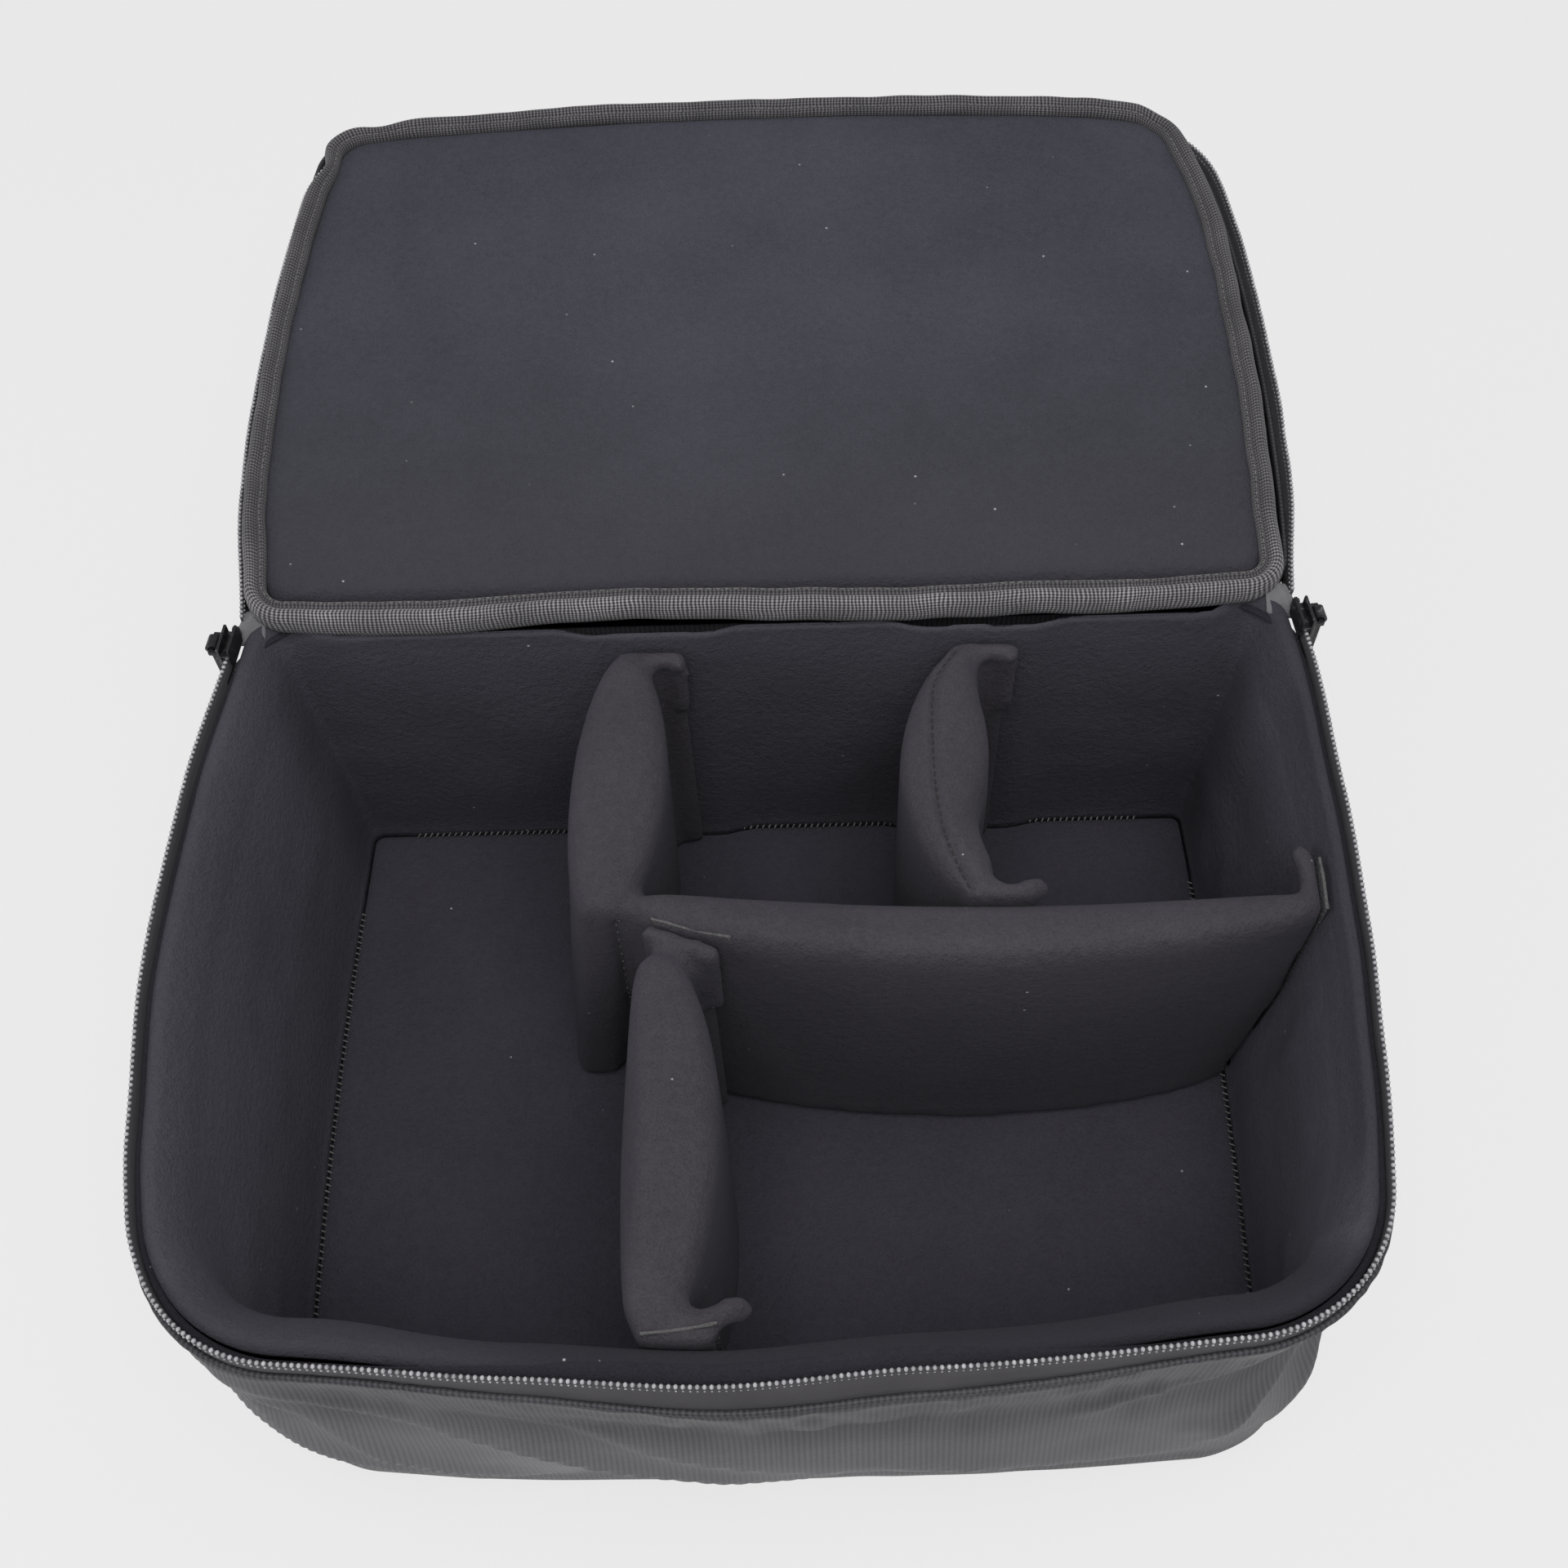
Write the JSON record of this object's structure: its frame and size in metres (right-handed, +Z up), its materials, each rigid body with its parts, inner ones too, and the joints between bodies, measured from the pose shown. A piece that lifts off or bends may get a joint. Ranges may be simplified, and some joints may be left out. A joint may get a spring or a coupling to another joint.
{
  "type": "padded camera bag insert",
  "caption": "Padded zip-round camera insert with a fold-back lid and hook-and-loop dividers that part the box into open bays.",
  "frame": {"origin": "middle of the base's underside, on the surface that the insert stands on", "axes": "+Z up, +Y to the back where the lid is hinged, +X to the right seen from the front"},
  "size_m": [0.3758, 0.5108, 0.1632],
  "materials": {
    "nylon_cover": "satin",
    "loop_lining": "matte",
    "divider_lining": "matte",
    "foam": "matte",
    "board": "matte",
    "zip_tape": "matte",
    "zip_teeth": "gloss",
    "grosgrain": "matte",
    "hook_tape": "matte",
    "zip_metal": "satin"
  },
  "bodies": {
    "body": {"base_cover": "nylon_cover", "base_board": "board", "base_foam": "foam", "floor_lining": "loop_lining", "wall_cover": "nylon_cover", "front_foam": "foam", "back_foam": "foam", "left_foam": "foam", "right_foam": "foam", "wall_lining": "loop_lining", "rim_facing": "zip_tape", "body_zip_tape": "zip_tape", "body_zip_chain": "zip_teeth", "cover_hem": "nylon_cover", "zip_stop_left": "zip_metal", "zip_stop_right": "zip_metal", "hinge_strip": "nylon_cover"},
    "lid": {"lid_cover": "nylon_cover", "lid_foam": "foam", "lid_lining": "loop_lining", "lid_binding": "grosgrain", "lid_zip_tape": "zip_tape", "lid_zip_chain": "zip_teeth", "lid_hinge_panel": "nylon_cover"},
    "slider_left": {"zip_slider_left": "zip_metal"},
    "slider_right": {"zip_slider_right": "zip_metal"},
    "pull_left": {"zip_pull_left": "zip_metal"},
    "pull_right": {"zip_pull_right": "zip_metal"},
    "long_divider": {"long_divider_rear_cover": "divider_lining", "long_divider_rear_foam": "foam", "long_divider_cross_cover": "divider_lining", "long_divider_cross_foam": "foam", "long_divider_crease": "divider_lining", "long_divider_back_tab": "divider_lining", "long_divider_back_hook": "hook_tape", "long_divider_side_tab": "divider_lining", "long_divider_side_hook": "hook_tape"},
    "rear_divider": {"rear_divider_cover": "divider_lining", "rear_divider_foam": "foam", "rear_divider_back_tab": "divider_lining", "rear_divider_back_hook": "hook_tape", "rear_divider_front_tab": "divider_lining", "rear_divider_front_hook": "hook_tape"},
    "front_divider": {"front_divider_cover": "divider_lining", "front_divider_foam": "foam", "front_divider_back_tab": "divider_lining", "front_divider_back_hook": "hook_tape", "front_divider_front_tab": "divider_lining", "front_divider_front_hook": "hook_tape"}
  },
  "joints": [
    {"name": "lid_hinge", "type": "hinge", "parent": "body", "child": "lid", "pos_m": [0, 0.121, 0.15], "axis": [-1, 0, 0], "range_deg": [-178, 0]},
    {"name": "left_slider_run", "type": "hinge", "parent": "body", "child": "slider_left", "pos_m": [0.715, 0.015, 0.15], "axis": [0, 0, 1], "range_deg": [0, 11.9]},
    {"name": "right_slider_run", "type": "hinge", "parent": "body", "child": "slider_right", "pos_m": [-0.715, 0.015, 0.15], "axis": [0, 0, -1], "range_deg": [0, 11.9]},
    {"name": "left_pull_swing", "type": "hinge", "parent": "slider_left", "child": "pull_left", "pos_m": [-0.18513, 0.11258, 0.15], "axis": [0.1078, 0.9942, 0], "range_deg": [0, 150]},
    {"name": "right_pull_swing", "type": "hinge", "parent": "slider_right", "child": "pull_right", "pos_m": [0.18513, 0.11258, 0.15], "axis": [0.1078, -0.9942, 0], "range_deg": [0, 150]},
    {"name": "long_divider_lift", "type": "slide", "parent": "body", "child": "long_divider", "axis": [0, 0, 1], "range_m": [0, 0.16]},
    {"name": "rear_divider_lift", "type": "slide", "parent": "body", "child": "rear_divider", "axis": [0, 0, 1], "range_m": [0, 0.16]},
    {"name": "front_divider_lift", "type": "slide", "parent": "body", "child": "front_divider", "axis": [0, 0, 1], "range_m": [0, 0.16]}
  ]
}
